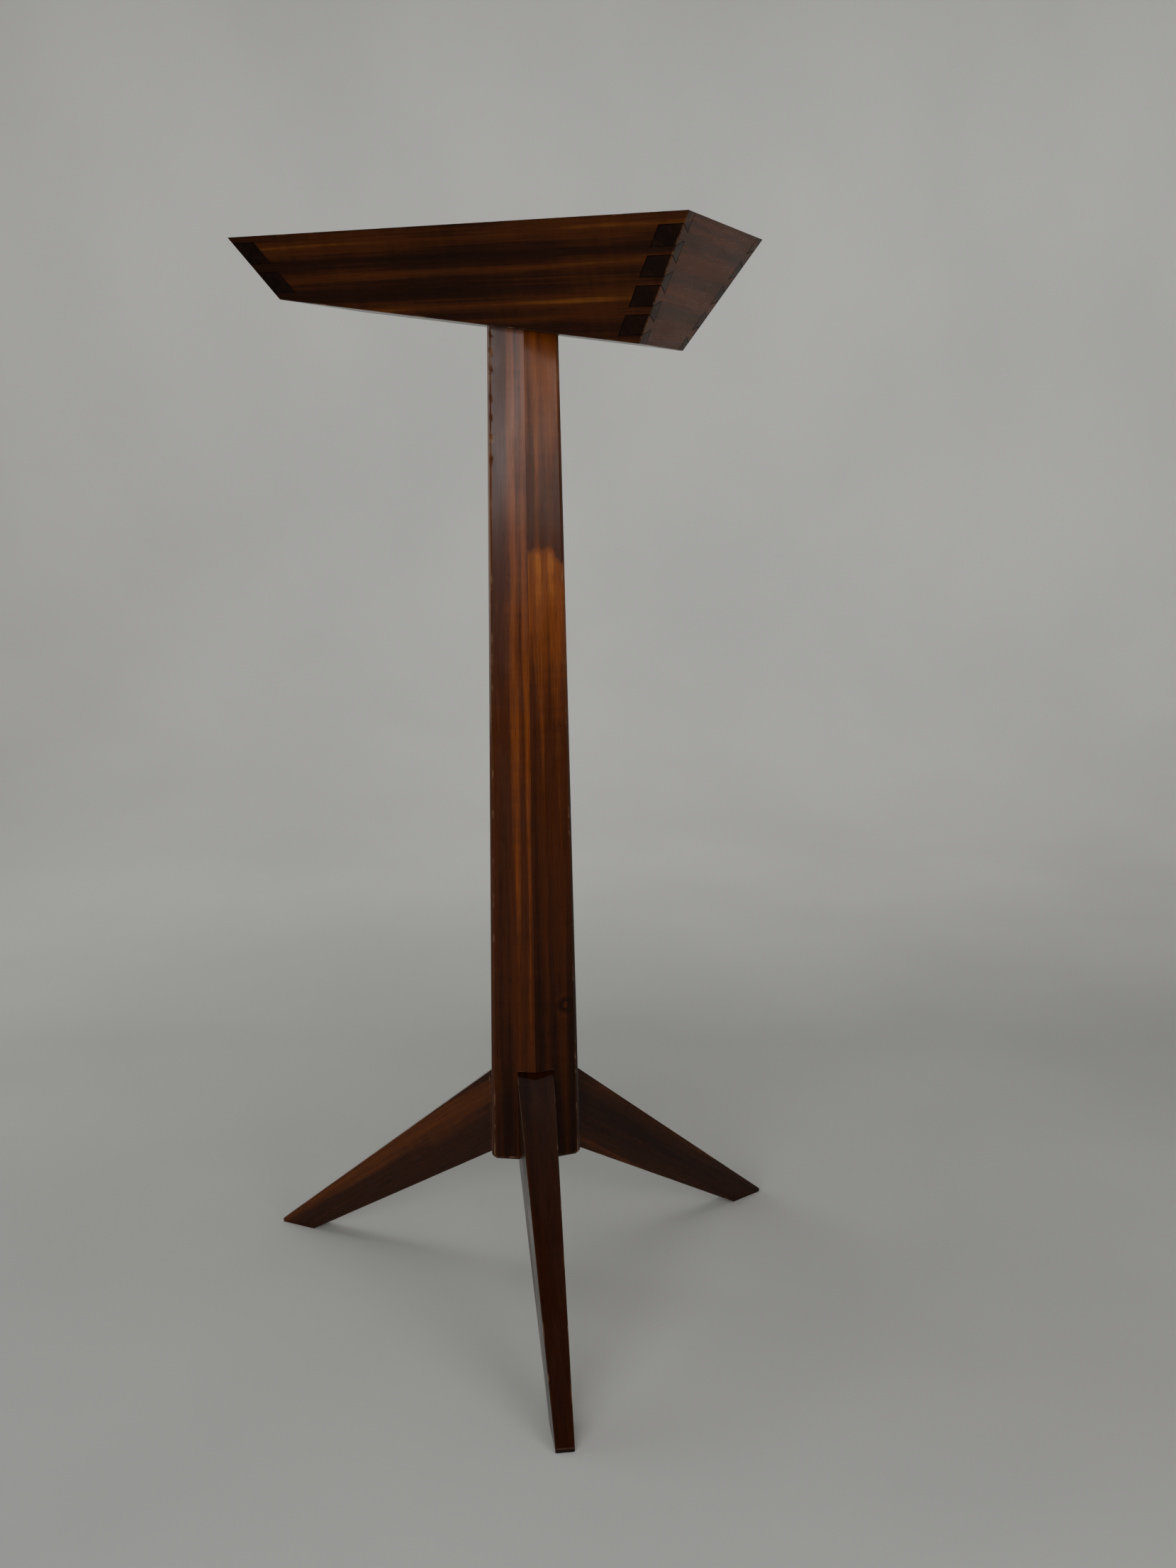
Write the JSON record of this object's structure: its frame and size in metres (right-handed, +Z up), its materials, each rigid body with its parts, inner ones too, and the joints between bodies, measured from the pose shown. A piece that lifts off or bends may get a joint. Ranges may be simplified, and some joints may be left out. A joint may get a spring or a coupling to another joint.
{
  "type": "photo album stand",
  "caption": "Floor stand with an open dovetailed tray on a tapered column with splayed legs; holds a photo album or prints.",
  "frame": {"origin": "on the floor, at the centre of the box round the whole stand; the column's centre line is 56.5 mm from it towards +X", "axes": "+Z up; +X along the tray towards its deep end; +Y across the tray"},
  "size_m": [0.495, 0.5348, 1],
  "materials": {
    "mahogany": "dark reddish ribbon-striped hardwood under a clear gloss finish",
    "brass": "plain brass, slightly dulled"
  },
  "bodies": {
    "root": {"tray_front_panel": "mahogany", "tray_back_panel": "mahogany", "tray_deep_end": "mahogany", "tray_shallow_end": "mahogany", "tray_floor": "mahogany", "column_stave_front": "mahogany", "column_stave_deep": "mahogany", "column_stave_back": "mahogany", "leg_front": "mahogany", "leg_back": "mahogany", "leg_shallow": "mahogany", "tray_floor_screws": "brass"}
  },
  "joints": []
}
